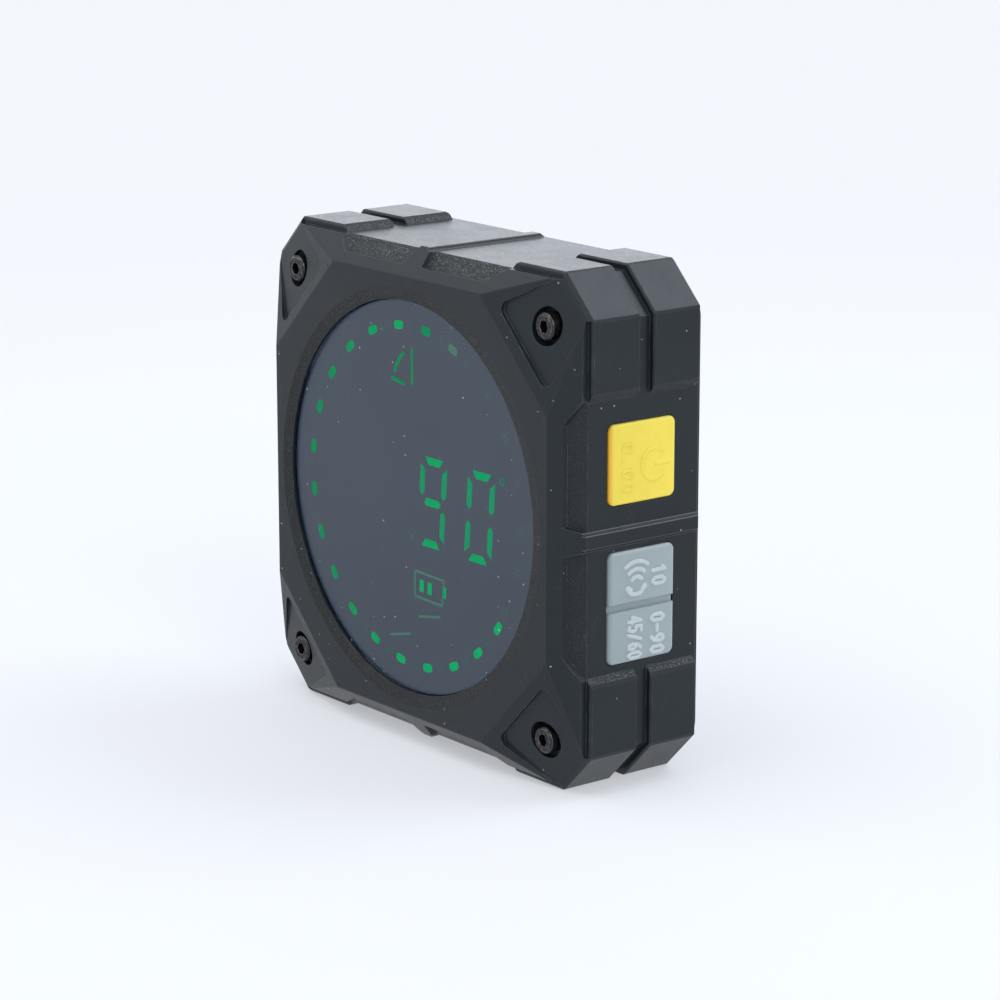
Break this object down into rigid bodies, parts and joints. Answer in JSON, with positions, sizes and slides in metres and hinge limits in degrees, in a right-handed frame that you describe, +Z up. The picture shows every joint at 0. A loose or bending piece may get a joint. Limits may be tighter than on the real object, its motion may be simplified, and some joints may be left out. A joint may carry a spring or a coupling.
{
  "type": "digital angle gauge",
  "caption": "Small square digital angle gauge with a round lit dial, bumpered octagonal case, a push key and a rocker key on one side and magnets in its base side.",
  "frame": {"origin": "under the middle of the case, on the surface that it stands on", "axes": "-Y out of the dial, +X out of the keys' side, +Z up; the base side with magnets faces -X"},
  "size_m": [0.065, 0.024, 0.065],
  "materials": {
    "housing_plastic": "fine satin moulded ABS, charcoal",
    "seal_rubber": "matt silicone",
    "black_steel": "black oxide, slightly oily",
    "brass": "turned",
    "magnet_plating": "nickel plated",
    "window_plastic": "smoked, polished",
    "adhesive": "black foam tape",
    "display_glass": "polished",
    "white_plastic": "matt moulded",
    "clear_plastic": "clear, dotted back",
    "strip_rubber": "striped silicone",
    "led_package": "moulded package",
    "board_laminate": "green solder mask",
    "zinc_steel": "zinc plated",
    "chip_plastic": "moulded package",
    "sensor_can": "moulded package",
    "speaker_can": "pressed can",
    "battery_foil": "satin pouch",
    "foam": "open-cell foam",
    "port_steel": "nickel plated",
    "header_plastic": "moulded, gilt pins",
    "switch_plastic": "moulded, tinned legs",
    "plunger_plastic": "moulded",
    "yellow_key": "satin moulded, raised signs",
    "grey_key": "satin moulded, raised signs",
    "pin_steel": "ground"
  },
  "bodies": {
    "case": {"main_housing": "housing_plastic", "rear_cover": "housing_plastic", "housing_seal": "seal_rubber", "cover_screws": "black_steel", "threaded_inserts": "brass", "base_magnets": "magnet_plating", "display_window": "window_plastic", "window_adhesive": "adhesive", "display_panel": "display_glass", "diffuser_sheet": "white_plastic", "light_guide": "clear_plastic", "contact_strip": "strip_rubber", "display_holder": "white_plastic", "backlight_leds": "led_package", "main_board": "board_laminate", "board_screws": "zinc_steel", "microcontroller": "chip_plastic", "tilt_sensor": "sensor_can", "voice_chip": "chip_plastic", "speaker": "speaker_can", "battery_cell": "battery_foil", "battery_pad": "foam", "charging_port": "port_steel", "port_tongue": "chip_plastic", "key_board": "board_laminate", "key_header": "header_plastic", "key_switches": "switch_plastic", "rocker_pin": "pin_steel"},
    "zero_key": {"zero_key": "yellow_key"},
    "rocker_key": {"rocker_key": "grey_key"},
    "zero_plunger": {"zero_plunger": "plunger_plastic"},
    "voice_plunger": {"voice_plunger": "plunger_plastic"},
    "hold_plunger": {"hold_plunger": "plunger_plastic"}
  },
  "joints": [
    {"name": "zero_press", "type": "slide", "parent": "case", "child": "zero_key", "axis": [-1, 0, 0], "range_m": [0, 0.0005], "stiffness_N_per_m": 400, "springref_m": -0.0003},
    {"name": "rocker_tilt", "type": "hinge", "parent": "case", "child": "rocker_key", "pos_m": [0.0303, 0.00015, 0.0235], "axis": [0, 1, 0], "range_deg": [-3, 3], "stiffness_Nm_per_rad": 0.1},
    {"name": "zero_plunger_slide", "type": "slide", "parent": "case", "child": "zero_plunger", "axis": [-1, 0, 0], "range_m": [0, 0.0005]},
    {"name": "voice_plunger_slide", "type": "slide", "parent": "case", "child": "voice_plunger", "axis": [-1, 0, 0], "range_m": [-0.0004, 0.0004]},
    {"name": "hold_plunger_slide", "type": "slide", "parent": "case", "child": "hold_plunger", "axis": [-1, 0, 0], "range_m": [-0.0004, 0.0004]}
  ],
  "couplings": [
    {"joint": "zero_plunger_slide", "follows": "zero_press", "ratio": 1},
    {"joint": "voice_plunger_slide", "follows": "rocker_tilt", "m_per_rad": -0.0044},
    {"joint": "hold_plunger_slide", "follows": "rocker_tilt", "m_per_rad": 0.0044}
  ]
}
